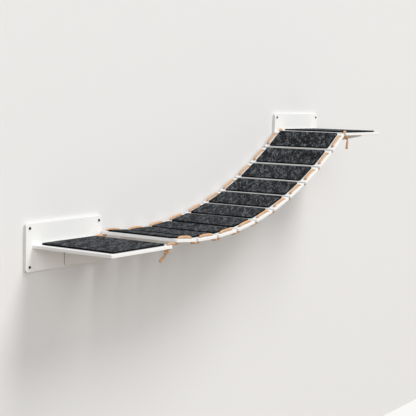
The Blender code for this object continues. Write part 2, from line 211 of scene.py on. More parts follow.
def rope_rub_group():
    """Where a taut rope bears on the paint round its hole: polished, and tanned by the fibres."""
    tree, inside, outside = group(
        "rope_rub",
        [("Place", "Vector"), ("Lowest", "Vector"), ("Hole", "Vector"), ("Colour", "Color"), ("Roughness", "Float")],
        [("Colour", "Color"), ("Roughness", "Float")])
    folded = vectors(tree, "ABSOLUTE", vectors(tree, "MAXIMUM", inside["Place"], inside["Lowest"]))
    flat = vectors(tree, "MULTIPLY", vectors(tree, "SUBTRACT", folded, inside["Hole"]), (1.0, 1.0, 0.0))
    fray = grains(tree, inside["Place"], scale=260.0, detail=4.0)
    ragged = maths(tree, "MULTIPLY_ADD", fray, STAIN_RAGGEDNESS, vectors(tree, "LENGTH", flat))
    mask = ramp(tree, ragged, STAIN_RADIUS, STAIN_CORE_RADIUS)
    stained = mixed(tree, maths(tree, "MULTIPLY", mask, 0.28), inside["Colour"], ROPE_STAIN)
    tree.links.new(stained, outside["Colour"])
    tree.links.new(maths(tree, "MULTIPLY_ADD", mask, -0.10, inside["Roughness"]), outside["Roughness"])
    return tree


rolled_paint = rolled_paint_group()
rope_rub = rope_rub_group()


def paint_for(name, half_size, hole=None, lowest=-1.0, with_joint_shadow=False):
    """White satin paint for a board of this half width and half depth. Rope holes are mirrored about its middle,
    the lengthwise ones only from the lowest X on. A board with a joint shadow gets a painted shadow along its back
    edge: a near-black line that stands in for the shade in the joint with the plate."""
    material, tree, shader = surface(name, IOR=1.48, Coat_Weight=0.12, Coat_Roughness=0.32)
    place = own_place(tree, "board_place")
    coat = put(tree, "ShaderNodeGroup", node_tree=rolled_paint)
    tree.links.new(place, coat.inputs["Place"])
    coat.inputs["Half Size"].default_value = (*half_size, 0.0)
    coat.inputs["Colour"].default_value = (*WHITE, 1.0)
    colour, rough = coat.outputs["Colour"], coat.outputs["Roughness"]
    if hole:
        rub = put(tree, "ShaderNodeGroup", node_tree=rope_rub)
        for title, value in (("Place", place), ("Colour", colour), ("Roughness", rough)):
            tree.links.new(value, rub.inputs[title])
        rub.inputs["Hole"].default_value = (*hole, 0.0)
        rub.inputs["Lowest"].default_value = (lowest, -1.0, -1.0)
        colour, rough = rub.outputs["Colour"], rub.outputs["Roughness"]
    if with_joint_shadow:
        # Painted shadow: a near-black line along the back edge stands in for the shade in the joint with the plate.
        depth = put(tree, "ShaderNodeSeparateXYZ", {0: place}).outputs[1]
        line = ramp(tree, depth, half_size[1] - PAINTED_JOINT_SHADOW_WIDTH, half_size[1] - 0.5 * PAINTED_JOINT_SHADOW_WIDTH)
        colour = mixed(tree, line, colour, PAINTED_JOINT_SHADOW)
    tree.links.new(colour, shader["Base Color"])
    tree.links.new(rough, shader["Roughness"])
    embossed(tree, shader, coat.outputs["Height"], strength=0.35, distance=0.00012)
    return material


def thicken(bm, faces, by):
    """Extrudes flat faces and moves the new ones by a vector."""
    pushed = bmesh.ops.extrude_face_region(bm, geom=faces)["geom"]
    bmesh.ops.translate(bm, vec=by, verts=[item for item in pushed if isinstance(item, bmesh.types.BMVert)])
    bmesh.ops.recalc_face_normals(bm, faces=bm.faces[:])


def drilled_board(width, depth, thickness, corner, holes, sinks=()):
    """A board centred on its own Z axis, standing on Z = 0. Each hole is (x, y, radius, eased rim); those whose
    (x, y) is in sinks are countersunk in the underside."""
    bm = bmesh.new()
    bmesh.ops.create_grid(bm, x_segments=1, y_segments=1, size=0.5)
    bmesh.ops.scale(bm, vec=(width, depth, 1.0), verts=bm.verts)
    bmesh.ops.bevel(
        bm, geom=bm.verts[:], offset=corner, segments=CORNER_STEPS, profile=0.5, affect="VERTICES", material=-1)
    bmesh.ops.delete(bm, geom=bm.faces[:], context="FACES_ONLY")
    for x, y, radius, _ in holes:
        bmesh.ops.create_circle(bm, segments=HOLE_SIDES, radius=radius, matrix=Matrix.Translation((x, y, 0.0)))
    bmesh.ops.triangle_fill(bm, use_beauty=True, edges=bm.edges[:], normal=(0.0, 0.0, 1.0))
    thicken(bm, bm.faces[:], (0.0, 0.0, thickness))

    def rim(hole=None, level=None):
        """The edges between a flat face and a wall: round one hole at one level, or round the outline."""
        found = []
        for edge in bm.edges:
            if len(edge.link_faces) != 2 or edge.calc_face_angle() < SHARP_FOLD:
                continue
            middle = (edge.verts[0].co + edge.verts[1].co) / 2
            near = [h for h in holes if (middle.xy - Vector(h[:2])).length < h[2] + SAME_SPOT]
            if near[:1] == ([hole] if hole else []) and (level is None or abs(middle.z - level) < SAME_SPOT):
                found.append(edge)
        return found

    bmesh.ops.bevel(
        bm, geom=rim(), offset=BOARD_EASE, segments=EASE_STEPS, profile=0.5, affect="EDGES", material=-1)
    for hole in holes:
        for level in (0.0, thickness):
            sink = level == 0.0 and hole[:2] in sinks
            bmesh.ops.bevel(
                bm, geom=rim(hole, level), offset=SINK_WIDTH if sink else hole[3],
                segments=1 if sink else EASE_STEPS, profile=0.5, affect="EDGES", material=-1)
    return bm


def as_mesh(bm, name):
    """A mesh with the bmesh's shape, which is used up."""
    mesh = bpy.data.meshes.new(name)
    bm.to_mesh(mesh)
    bm.free()
    return mesh


def in_scene(name, data):
    """A new object of the scene with this mesh, curve, lamp or camera."""
    obj = bpy.data.objects.new(name, data)
    bpy.context.scene.collection.objects.link(obj)
    return obj


def settled(name, bm, place, material, body, attribute="board_place", shift=(0.0, 0.0, 0.0), smooth=True):
    """Keeps each point's own place for the material, sets the mesh in the frame and makes the piece ride."""
    mesh = as_mesh(bm, name)
    points = np.empty(len(mesh.vertices) * 3, np.float32)
    mesh.vertices.foreach_get("co", points)
    own = mesh.attributes.new(attribute, "FLOAT_VECTOR", "POINT")
    own.data.foreach_set("vector", (points.reshape(-1, 3) + np.array(shift, np.float32)).ravel())
    mesh.transform(place)
    mesh.materials.append(material)
    mesh.shade_smooth()
    obj = in_scene(name, mesh)
    if smooth:
        even = obj.modifiers.new("even_shading", "WEIGHTED_NORMAL")
        even.keep_sharp = True
        even.weight = 50
    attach(obj, body)
    return obj


UNITS = ("lower", "upper")
SCREW_INSET = 0.015
WALL_HOLE_RADIUS = 0.0026
SUNK_HOLE_RADIUS = 0.0020
SCREW_HOLE_EASE = 0.0003
PLATE_CORNER = 0.010
for unit in UNITS:
    low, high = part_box(unit + "_wall_plate")
    middle = (low + high) / 2
    size = high - low
    centre = Vector((middle.x, 0.0, middle.z))
    drilled = []
    for sx in (-1, 1):
        for sz in (-1, 1):
            x, z = sx * (size.x / 2 - SCREW_INSET), sz * (size.z / 2 - SCREW_INSET)
            drilled.append((x, z, WALL_HOLE_RADIUS, SCREW_HOLE_EASE))
    sunk = []
    for node in ("shelf_screw_1", "shelf_screw_2", "gusset_screw_1", "gusset_screw_2"):
        screw_low, screw_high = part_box(f"{unit}_{node}")
        spot = (screw_low + screw_high) / 2 - centre
        sunk.append((spot.x, spot.z))
        drilled.append((spot.x, spot.z, SUNK_HOLE_RADIUS, SCREW_HOLE_EASE))
    board = drilled_board(size.x, size.z, size.y, PLATE_CORNER, drilled, sunk)
    plate = settled(
        f"{unit}_plate_painted", board, Matrix.Translation(centre) @ FACING_ROOM,
        paint_for(f"{unit}_plate_paint", (size.x / 2, size.z / 2)), "wall_units")
    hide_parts(unit + "_wall_plate")


# Shelf boards. Each butts on the front of its plate and has two rope holes near the edge that faces the bridge.
# Painted as the plates are; the paint is rubbed a little where the ropes come up through the holes.
SHELF_CORNER = 0.005
ROPE_HOLE_RADIUS = 0.00575
HOLE_EASE = 0.0012
SHELF_HOLE_INSET = 0.0125
ROPE_END_INSET = 0.010
for unit in UNITS:
    low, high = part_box(unit + "_shelf_board")
    middle = (low + high) / 2
    size = high - low
    hole_x = size.x / 2 - SHELF_HOLE_INSET
    hole_y = size.y / 2 - ROPE_END_INSET
    drilled = [(hole_x, sy * hole_y, ROPE_HOLE_RADIUS, HOLE_EASE) for sy in (-1, 1)]
    board = drilled_board(size.x, size.y, size.z, SHELF_CORNER, drilled)
    holes_to_bridge = Matrix.Rotation(0 if unit == "lower" else math.pi, 4, "Z")
    paint = paint_for(f"{unit}_shelf_paint", (size.x / 2, size.y / 2), (hole_x, hole_y), lowest=0.0)
    settled(
        f"{unit}_shelf_painted", board, Matrix.Translation((middle.x, middle.y, low.z)) @ holes_to_bridge, paint,
        "wall_units")
    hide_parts(unit + "_shelf_board")


# Gussets. A long upright triangle of the same board under the middle of each shelf, screwed through the plate and
# down through the shelf, with its blunt nose just short of the shelf's front edge.
NOSE_HEIGHT = 0.004
for unit in UNITS:
    low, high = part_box(unit + "_gusset")
    bm = bmesh.new()
    outline = ((high.y, high.z), (low.y, high.z), (low.y, high.z - NOSE_HEIGHT), (high.y, low.z))
    side_face = bm.faces.new([bm.verts.new((low.x, y, z)) for y, z in outline])
    thicken(bm, [side_face], (high.x - low.x, 0.0, 0.0))
    bmesh.ops.bevel(
        bm, geom=bm.edges[:], offset=BOARD_EASE, segments=EASE_STEPS, profile=0.5, affect="EDGES", material=-1)
    middle = (low + high) / 2
    bmesh.ops.translate(bm, vec=-middle, verts=bm.verts[:])
    lying = Matrix.Rotation(math.radians(90), 4, "Y")
    bmesh.ops.transform(bm, matrix=lying.inverted(), verts=bm.verts[:])
    # The gusset's paint carries a painted shadow line along its back edge, where it meets the plate.
    paint = paint_for(f"{unit}_gusset_paint", ((high.z - low.z) / 2, (high.y - low.y) / 2), with_joint_shadow=True)
    gusset = settled(
        f"{unit}_gusset_painted", bm, Matrix.Translation(middle) @ lying, paint, "wall_units")
    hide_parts(unit + "_gusset")


# Slats. Ten boards of the same plywood as long as the shelves are deep, each with a pair of rope holes near both
# ends. Each is a little steeper than the one before, as a loaded rope hangs.
SLAT_COUNT = 10
SLAT_WIDTH = 0.104
SLAT_LENGTH = 0.300
SLAT_THICKNESS = 0.010
SLAT_GAP = 0.010
SLAT_CORNER = 0.005
SLAT_HOLE_INSET = 0.0185
FIRST_SLOPE_SHARE = -0.075
SLOPE_STEP_SHARE = 0.084
FIRST_REACH = 0.015
FIRST_FALL = 0.002
ROPE_SEAT = 0.0043
PATTERN_STEP = 0.05
PITCH = SLAT_WIDTH + SLAT_GAP

lower_low, lower_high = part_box("lower_shelf_board")
bridge_middle = (lower_low.y + lower_high.y) / 2
pivots = [Vector((lower_high.x + FIRST_REACH, lower_high.z + ROPE_SEAT - FIRST_FALL))]
tilts = []
for number in range(SLAT_COUNT):
    tilts.append(math.atan(FIRST_SLOPE_SHARE + SLOPE_STEP_SHARE * number))
    pivots.append(pivots[-1] + PITCH * Vector((math.cos(tilts[-1]), math.sin(tilts[-1]))))
slat_hole = (SLAT_WIDTH / 2 - SLAT_HOLE_INSET, SLAT_LENGTH / 2 - ROPE_END_INSET)
slat_holes = [
    (sx * slat_hole[0], sy * slat_hole[1], ROPE_HOLE_RADIUS, HOLE_EASE) for sx in (-1, 1) for sy in (-1, 1)]
slat_paint = paint_for("slat_paint", (SLAT_WIDTH / 2, SLAT_LENGTH / 2), slat_hole)


def slat_place(number, height):
    """The frame of a slat: its middle, this high above the rope line under it, turned to the slat's tilt."""
    start, tilt = pivots[number - 1], tilts[number - 1]
    lying = Matrix.Translation((start.x, bridge_middle, start.y)) @ Matrix.Rotation(-tilt, 4, "Y")
    return lying @ Matrix.Translation((PITCH / 2, 0.0, height))


for number in range(1, SLAT_COUNT + 1):
    board = drilled_board(SLAT_WIDTH, SLAT_LENGTH, SLAT_THICKNESS, SLAT_CORNER, slat_holes)
    settled(
        f"slat_painted_{number:02d}", board, slat_place(number, ROPE_SEAT), slat_paint,
        f"slat_{number:02d}", shift=(0.0, 0.0, PATTERN_STEP * number))
    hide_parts(f"slat_board_{number:02d}")


# Felt mats. Needle-punched charcoal felt heathered with pale fibres, 5 mm thick and half a millimetre more with its
# pile, die-cut with rounded corners and glued down: one mat on each shelf and a strip on each slat, with the board's
# white edges left free. The cut sides are painted nearly black: partly as the denser cut felt is, without the pale
# fibres raised on the face, and partly as painted shade on the sides.
FELT_THICKNESS = 0.0055
FELT_EASE = 0.0011
FELT_LIFT = 0.0003
FELT_PATTERN_STEP = (0.37, 0.21, 0.70)
PILE_WAVES = ((0.00016, 95.0), (0.00010, 330.0))
SIDE_FUZZ = 0.00030
SIDE_FUZZ_FINENESS = 240.0
NEAR_EDGE = (0.0, 0.0019, 0.0034, 0.0052, 0.0075)
CELL = 0.0036
FELT_HOLLOW = (0.0005, 0.0007, 0.001, 1.0)
FELT_GROUND = (0.044, 0.0475, 0.052, 1.0)
FELT_TUFT = (0.165, 0.175, 0.19, 1.0)
PALE_FIBRE = (0.26, 0.275, 0.295, 1.0)
DARK_FIBRE = (0.025, 0.027, 0.030, 1.0)
# Colours of the cut sides: partly the denser cut felt, partly painted shade of the sides.
SHADED_CUT_HOLLOW = (0.003, 0.003, 0.004, 1.0)
SHADED_CUT_GROUND = (0.014, 0.015, 0.017, 1.0)
SHADED_CUT_FIBRE = (0.06, 0.064, 0.07, 1.0)
FIBRE_TURNS_DEG = (8.0, 52.0, 97.0, 141.0)
FIBRE_WANDER = 0.006


def fibre_group():
    """Short fibres that lie in every direction: thin streaks from stretched grains at several turns."""
    tree, inside, outside = group(
        "felt_fibres", [("Place", "Vector"), ("Fineness", "Float"), ("Spread", "Float")], [("Mask", "Float")])
    wander = put(tree, "ShaderNodeTexNoise", {"Vector": inside["Place"], "Scale": 130.0, "Detail": 2.0})
    bent = vectors(tree, "MULTIPLY", wander.outputs["Color"], [FIBRE_WANDER] * 3)
    place = vectors(tree, "ADD", inside["Place"], bent)
    total = None
    for number, turn in enumerate(FIBRE_TURNS_DEG):
        turned = stretched(tree, place, (0.11, 1.0, 0.35), turn)
        moved = vectors(tree, "ADD", turned, (0.31 * number, 0.17 * number, 0.0))
        streak = grains(tree, moved, inside["Fineness"], detail=1.0, roughness=0.4)
        line = ramp(tree, streak, maths(tree, "SUBTRACT", 0.80, inside["Spread"]), 0.80)
        total = line if total is None else maths(tree, "MAXIMUM", total, line)
    tree.links.new(total, outside["Mask"])
    return tree


fibres = fibre_group()


def fibre_mask(tree, place, fineness, spread):
    """Where the fibres of this fineness lie."""
    lying = put(tree, "ShaderNodeGroup", node_tree=fibres)
    tree.links.new(place, lying.inputs["Place"])
    lying.inputs["Fineness"].default_value = fineness
    lying.inputs["Spread"].default_value = spread
    return lying.outputs["Mask"]


felt, tree, shader = surface(
    "heathered_felt", sheen=0.18, Sheen_Roughness=0.10, Sheen_Tint=(0.80, 0.84, 0.90, 1.0), IOR=1.35,
    Specular_IOR_Level=0.1, Roughness=0.92)
place = own_place(tree, "mat_place")
pale = fibre_mask(tree, place, fineness=1500.0, spread=0.20)
fine = fibre_mask(tree, place, fineness=3300.0, spread=0.30)
drawn_out = stretched(tree, place, (0.42, 1.0, 1.0), turn_deg=24.0)
clumps = grains(tree, drawn_out, scale=66.0, detail=6.0, roughness=0.76, distortion=0.8)
knots = grains(tree, drawn_out, scale=190.0, detail=4.0, roughness=0.68, distortion=1.0)
spots = ramp(tree, clumps, 0.49, 0.56)
ground = mixed(tree, spots, FELT_HOLLOW, FELT_GROUND)
tufts = maths(tree, "MULTIPLY", ramp(tree, knots, 0.520, 0.575), maths(tree, "MULTIPLY_ADD", spots, 0.78, 0.22))
tufted = mixed(tree, tufts, ground, FELT_TUFT)
flecks = maths(tree, "MULTIPLY", pale, ramp(tree, spots, 0.0, 1.0, to_low=0.05, to_high=0.70))
flecked = mixed(tree, flecks, tufted, PALE_FIBRE)
threaded = mixed(tree, maths(tree, "MULTIPLY", fine, 0.15), flecked, DARK_FIBRE)
tree.links.new(threaded, shader["Base Color"])
fibre_pile = maths(tree, "MULTIPLY_ADD", pale, 0.5, maths(tree, "MULTIPLY", fine, 0.5))
embossed(tree, shader, maths(tree, "MULTIPLY_ADD", clumps, 0.8, fibre_pile), strength=0.9, distance=0.0009)

# The sides' felt is darker partly as cut felt is, and partly as painted shade on the sides, which face away from the
# light.
shaded_cut_felt, tree, shader = surface("cut_felt_side", IOR=1.35, Specular_IOR_Level=0.05, Roughness=0.98)
place = own_place(tree, "mat_place")
layers = grains(tree, stretched(tree, place, (30.0, 30.0, 420.0)), scale=1.0, roughness=0.6)
stray = ramp(tree, grains(tree, place, scale=900.0, roughness=0.6), 0.60, 0.74)
packed_and_shaded = mixed(tree, ramp(tree, layers, 0.35, 0.70), SHADED_CUT_HOLLOW, SHADED_CUT_GROUND)
tree.links.new(mixed(tree, maths(tree, "MULTIPLY", stray, 0.5), packed_and_shaded, SHADED_CUT_FIBRE), shader["Base Color"])
embossed(tree, shader, maths(tree, "ADD", layers, stray), strength=0.8, distance=0.0004)


def spaced(half):
    """Grid lines from one edge to the other: close together at the edges and even between."""
    inner = half - NEAR_EDGE[-1]
    count = max(2, round(2 * inner / CELL))
    even = [-inner + 2 * inner * step / count for step in range(count + 1)]
    return [-half + near for near in NEAR_EDGE[:-1]] + even + [half - near for near in NEAR_EDGE[-2::-1]]


def felt_mat(name, width, depth, corner, place, body, node, number):
    """A mat centred on its own Z axis: a fine sheet with rounded corners, thickened, eased and slightly uneven."""
    columns, rows = spaced(width / 2), spaced(depth / 2)
    bm = bmesh.new()
    bmesh.ops.create_grid(bm, x_segments=len(columns) - 1, y_segments=len(rows) - 1, size=0.5)
    for vert in bm.verts:
        x = columns[round((vert.co.x + 0.5) * (len(columns) - 1))]
        y = rows[round((vert.co.y + 0.5) * (len(rows) - 1))]
        over = Vector((abs(x) - (width / 2 - corner), abs(y) - (depth / 2 - corner)))
        if min(over) > 0:
            over *= max(over) / over.length
            x = math.copysign(width / 2 - corner + over.x, x)
            y = math.copysign(depth / 2 - corner + over.y, y)
        vert.co = (x, y, 0.0)
    thicken(bm, bm.faces[:], (0.0, 0.0, FELT_THICKNESS))
    walls = [face for face in bm.faces if abs(face.normal.z) < 0.5]
    uprights = {
        edge for face in walls for edge in face.edges if abs(edge.verts[0].co.z - edge.verts[1].co.z) > 0.001}
    bmesh.ops.subdivide_edges(bm, edges=list(uprights), cuts=2)
    top = [
        edge for edge in bm.edges if len(edge.link_faces) == 2 and edge.calc_face_angle() > SHARP_FOLD
        and edge.verts[0].co.z > FELT_THICKNESS / 2]
    bmesh.ops.bevel(bm, geom=top, offset=FELT_EASE, segments=3, profile=0.5, affect="EDGES", material=-1)
    bm.normal_update()
    step_x, step_y, step_z = FELT_PATTERN_STEP
    for vert in bm.verts:
        if vert.co.z < SAME_SPOT:
            continue
        spot = vert.co + Vector((0.0, 0.0, step_z * number))
        if vert.normal.z > 0.9:
            vert.co.z += sum(height * noise.noise(spot * fineness) for height, fineness in PILE_WAVES)
        else:
            vert.co += vert.normal * SIDE_FUZZ * noise.noise(spot * SIDE_FUZZ_FINENESS)
    bm.normal_update()
    # Side faces take the darker cut-side felt: partly real cut felt, partly painted shade.
    for face in bm.faces:
        face.material_index = 1 if abs(face.normal.z) < 0.6 else 0
    mat = settled(
        name, bm, place, felt, body, "mat_place", (step_x * number, step_y * number, 0.0), False)
    mat.data.materials.append(shaded_cut_felt)
    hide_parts(node)


MAT_SIDE_MARGIN = 0.0215
MAT_END_MARGIN = 0.0135
MAT_CORNER = 0.006
STRIP_EDGE_MARGIN = 0.0045
STRIP_END_MARGIN = 0.0245
STRIP_CORNER = 0.005
for number, unit in enumerate(UNITS, SLAT_COUNT + 1):
    low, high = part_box(unit + "_shelf_board")
    middle = (low + high) / 2
    felt_mat(
        f"{unit}_shelf_felt", high.x - low.x - 2 * MAT_SIDE_MARGIN, high.y - low.y - 2 * MAT_END_MARGIN, MAT_CORNER,
        Matrix.Translation((middle.x, middle.y, high.z + FELT_LIFT)), "wall_units",
        unit + "_shelf_mat", number)
for number in range(1, SLAT_COUNT + 1):
    felt_mat(
        f"slat_felt_{number:02d}", SLAT_WIDTH - 2 * STRIP_EDGE_MARGIN, SLAT_LENGTH - 2 * STRIP_END_MARGIN,
        STRIP_CORNER, slat_place(number, ROPE_SEAT + SLAT_THICKNESS + FELT_LIFT), f"slat_{number:02d}",
        f"slat_mat_{number:02d}", number)


# Ropes. Two 8 mm three-strand cotton-jute ropes, laid with one turn in 26 mm, each knotted under the lower shelf and
# laced over its edge, down and up through every slat, and over the upper shelf's edge to a knot below. The pieces
# meet on top of the slats; in the gap that no joint spans, two meet under a slat.
ROPE_RADIUS = 0.004
LAST_REACH = 0.0081
LAST_RISE = 0.0108
OPEN_GAP_NUMBER = 5
MEETING_SHARE = 0.055
LAY_LENGTH = 0.026
STRAND_STEPS = 8
STRAND_ANGLE_DEG = 120
GROOVE_SHARE = 0.74
CROWN_POWER = 0.7
RING_SPACING = 0.0012
EASING_PASSES = 2
ARC_STEP_DEG = 12
ARCH_STEPS = 12
ARCH_HEIGHT = 0.0006
SLACK_ARCH_HEIGHT = 0.0010
SLACK_FADE_SLATS = 2.5
KNOT_STRAND = 0.0055
KNOT_STRAND_SHARE = KNOT_STRAND / (2 * ROPE_RADIUS)
KNOT_LOOSENESS = 0.0004
KNOT_SPACING = KNOT_STRAND + KNOT_LOOSENESS
KNOT_STEPS = 6
KNOT_COURSE_SHARES = (
    (0.00, 0.00, 0.00), (0.00, 0.00, -0.75), (0.00, 0.00, -1.55), (0.35, 0.00, -2.30),
    (1.20, 0.05, -2.50), (2.10, 0.00, -1.85), (2.05, -0.35, -0.95), (1.05, -1.00, -0.60),
    (0.00, -1.10, -0.65), (-0.87, -0.70, -0.72), (-1.10, 0.10, -0.80), (-0.75, 0.85, -0.88),
    (0.10, 1.10, -0.95), (0.85, 0.80, -1.10), (1.05, 0.00, -1.42), (1.00, -0.80, -1.75),
    (0.80, -1.25, -2.40), (0.60, -1.25, -3.10),
)
KNOT_TOP_SHARE = 0.60
KNOT_CLEARANCE = 0.0003
TAIL_COURSES = {
    "lower_front": ((-0.003, 0.002, -0.007), (-0.004, 0.003, -0.006), (-0.004, 0.002, -0.005)),
    "lower_back": ((-0.002, -0.003, -0.008), (-0.003, -0.001, -0.007), (-0.002, -0.001, -0.005)),
    "upper_front": ((0.000, 0.001, -0.010), (-0.001, 0.000, -0.009), (-0.001, 0.000, -0.008)),
    "upper_back": ((0.001, -0.001, -0.010), (0.001, -0.001, -0.010), (0.000, 0.000, -0.007)),
}
TIP_START = 0.0012
TIP_LENGTH = 0.006
TIP_WIDTH_SHARE = 1.30
TIP_ROUND = ((0.70, 1.34), (0.92, 1.22), (1.0, 0.90))
YARN_SHADE = (0.51, 0.298, 0.158, 1.0)
YARN_TAN = (0.83, 0.535, 0.318, 1.0)
YARN_BLEACHED = (0.88, 0.68, 0.475, 1.0)
YARN_BROWN = (0.54, 0.315, 0.168, 1.0)
# Painted shade for the grooves between the strands.
PAINTED_GROOVE_SHADE = (0.22, 0.115, 0.055, 1.0)

twisted, tree, shader = surface(
    "twisted_rope", sheen=0.18, Sheen_Roughness=0.5, Sheen_Tint=(1.0, 0.90, 0.78, 1.0), IOR=1.4,
    Specular_IOR_Level=0.3, Roughness=0.82)
place = own_place(tree, "rope_place")
crown = put(tree, "ShaderNodeAttribute", attribute_name="crown").outputs["Fac"]
yarns = grains(tree, stretched(tree, place, (1.0, 1.0, 0.06)), scale=2600.0, detail=2.0, roughness=0.6)
tufts = grains(tree, stretched(tree, place, (1.0, 1.0, 0.35)), scale=900.0, roughness=0.6)
lengths = grains(tree, stretched(tree, place, (1.0, 1.0, 0.5)), scale=120.0, detail=2.0)
tan = mixed(tree, ramp(tree, yarns, 0.36, 0.66), YARN_SHADE, YARN_TAN)
bleached = mixed(tree, ramp(tree, tufts, 0.52, 0.78, to_high=0.55), tan, YARN_BLEACHED)
varied = mixed(tree, ramp(tree, lengths, 0.35, 0.70, to_high=0.30), bleached, YARN_BROWN)
# Painted shade: the grooves between the strands are darkened towards brown, standing in for the shade that falls in
# them.
groove_shaded = mixed(tree, ramp(tree, crown, 0.0, 0.55, to_low=0.80, to_high=0.0), varied, PAINTED_GROOVE_SHADE)
tree.links.new(groove_shaded, shader["Base Color"])
hairy = maths(tree, "MULTIPLY_ADD", yarns, 0.7, maths(tree, "MULTIPLY", tufts, 0.5))
embossed(tree, shader, hairy, strength=0.9, distance=0.00035)


def unit_at(degrees):
    """A flat unit vector in this direction."""
    return Vector((math.cos(math.radians(degrees)), math.sin(math.radians(degrees))))


def arc(centre, radius, start_deg, end_deg):
    """Points on an arc, from one direction to another."""
    steps = max(2, math.ceil(abs(end_deg - start_deg) / ARC_STEP_DEG))
    return [
        centre + radius * unit_at(start_deg + (end_deg - start_deg) * step / steps) for step in range(steps + 1)]


def round_edge(corner, start_deg, end_deg):
    """The rope's arc about a board's eased square edge, from one direction to another at right angles to it."""
    centre = Vector(corner) - HOLE_EASE * (unit_at(start_deg) + unit_at(end_deg))
    return arc(centre, HOLE_EASE + ROPE_SEAT, start_deg, end_deg)


def slat_lacing(number):
    """The rope up through a slat's near hole, in a low arch over its top and down through its far hole."""
    near = SLAT_GAP / 2 + SLAT_HOLE_INSET
    far = PITCH - near
    top = ROPE_SEAT + SLAT_THICKNESS
    rise = round_edge((near - ROPE_HOLE_RADIUS, ROPE_SEAT), -90, 0) + round_edge(
        (near + ROPE_HOLE_RADIUS, top), 180, 90)
    fall = round_edge((far - ROPE_HOLE_RADIUS, top), 90, 0) + round_edge(
        (far + ROPE_HOLE_RADIUS, ROPE_SEAT), 180, 270)
    height = ARCH_HEIGHT + SLACK_ARCH_HEIGHT * math.exp(-(number - 1) / SLACK_FADE_SLATS)
    arch = [
        rise[-1].lerp(fall[0], step / ARCH_STEPS) + Vector((0.0, height * math.sin(math.pi * step / ARCH_STEPS)))
        for step in range(1, ARCH_STEPS)]
    turn = Matrix.Rotation(tilts[number - 1], 2)
    return [pivots[number - 1] + turn @ point for point in rise + arch + fall]


def smooth_through(points, steps):
    """Points on a Catmull-Rom curve through the given ones."""
    padded = [2 * points[0] - points[1], *points, 2 * points[-1] - points[-2]]
    curve = []
    for a, b, c, d in zip(padded, padded[1:], padded[2:], padded[3:]):
        for step in range(steps):
            t = step / steps
            curve.append(
                b + t * (c - a) / 2 + t ** 2 * (2 * a - 5 * b + 4 * c - d) / 2
                + t ** 3 * (3 * b - a - 3 * c + d) / 2)
    return curve + [points[-1]]


def knotted_end(hole_point, facing, tail):
    """(points, width shares) of an overhand knot and its tail, from the hole down."""
    drop = KNOT_TOP_SHARE * KNOT_SPACING - KNOT_STRAND_SHARE * ROPE_RADIUS - KNOT_CLEARANCE
    top = hole_point + Vector((0.0, 0.0, drop))
    course = [top + KNOT_SPACING * Vector((facing * x, facing * y, z)) for x, y, z in KNOT_COURSE_SHARES]
    knot_end = KNOT_STEPS * (len(course) - 1)
    for offset in tail:
        course.append(course[-1] + Vector(offset))
    onward = Vector(tail[-1]).normalized()
    points = smooth_through(course, KNOT_STEPS)
    shares = []
    for place in range(len(points)):
        loose = max(1 - place / KNOT_STEPS, (place - knot_end) / KNOT_STEPS, 0.0)
        opened = max(0.0, (place - knot_end) / (len(points) - knot_end)) * (TIP_WIDTH_SHARE - 1.0)
        shares.append(KNOT_STRAND_SHARE + (1 - KNOT_STRAND_SHARE) * min(1.0, loose) + opened)
    end = points[-1]
    points += [end + TIP_START * onward] + [end + TIP_LENGTH * share * onward for share, _ in TIP_ROUND]
    shares += [TIP_WIDTH_SHARE] + [wide for _, wide in TIP_ROUND]
    return points, shares


def rope_route(y, tails):
    """(points, width shares) of one whole rope, from the tail under the lower shelf to that under the upper one."""
    shelf_thickness = lower_high.z - lower_low.z
    lower_hole = lower_high.x - SHELF_HOLE_INSET
    reach = HOLE_EASE + ROPE_SEAT
    centre = Vector((lower_high.x - HOLE_EASE, lower_high.z - HOLE_EASE))
    fall = pivots[0] - centre
    slope = math.degrees(math.atan2(fall.y, fall.x) - math.asin(reach / fall.length))
    flat = round_edge((lower_hole + ROPE_HOLE_RADIUS, lower_high.z), 180, 90) + arc(centre, reach, 90, slope + 90)
    for number in range(1, SLAT_COUNT + 1):
        flat += [pivots[number - 1]] + slat_lacing(number)
    upper_edge = pivots[-1] + Vector((LAST_REACH, LAST_RISE))
    centre = upper_edge + Vector((HOLE_EASE, -HOLE_EASE))
    rise = centre - pivots[-1]
    slope = math.degrees(math.atan2(rise.y, rise.x) + math.asin(reach / rise.length))
    flat += [pivots[-1]] + arc(centre, reach, slope + 90, 90)
    upper_hole = upper_edge.x + SHELF_HOLE_INSET
    flat += round_edge((upper_hole - ROPE_HOLE_RADIUS, upper_edge.y), 90, 0)
    offset = ROPE_HOLE_RADIUS - ROPE_SEAT
    lower_end = knotted_end(Vector((lower_hole + offset, y, lower_low.z)), -1, tails[0])
    upper_end = knotted_end(Vector((upper_hole - offset, y, upper_edge.y - shelf_thickness)), 1, tails[1])
    points = lower_end[0][::-1] + [Vector((p.x, y, p.y)) for p in flat] + upper_end[0]
    shares = lower_end[1][::-1] + [1.0] * len(flat) + upper_end[1]
    return points, shares


def evenly(points, shares, spacing):
    """The same route with points this far apart, eased so that no corner is left."""
    course = np.array([list(p) for p in points])
    along = np.concatenate([[0.0], np.cumsum(np.linalg.norm(np.diff(course, axis=0), axis=1))])
    count = round(along[-1] / spacing)
    stations = np.linspace(0.0, along[-1], count + 1)
    even = np.stack([np.interp(stations, along, course[:, axis]) for axis in range(3)], axis=1)
    wide = np.interp(stations, along, shares)
    for _ in range(EASING_PASSES):
        even[1:-1] = (even[:-2] + 2 * even[1:-1] + even[2:]) / 4
    return even, wide, stations


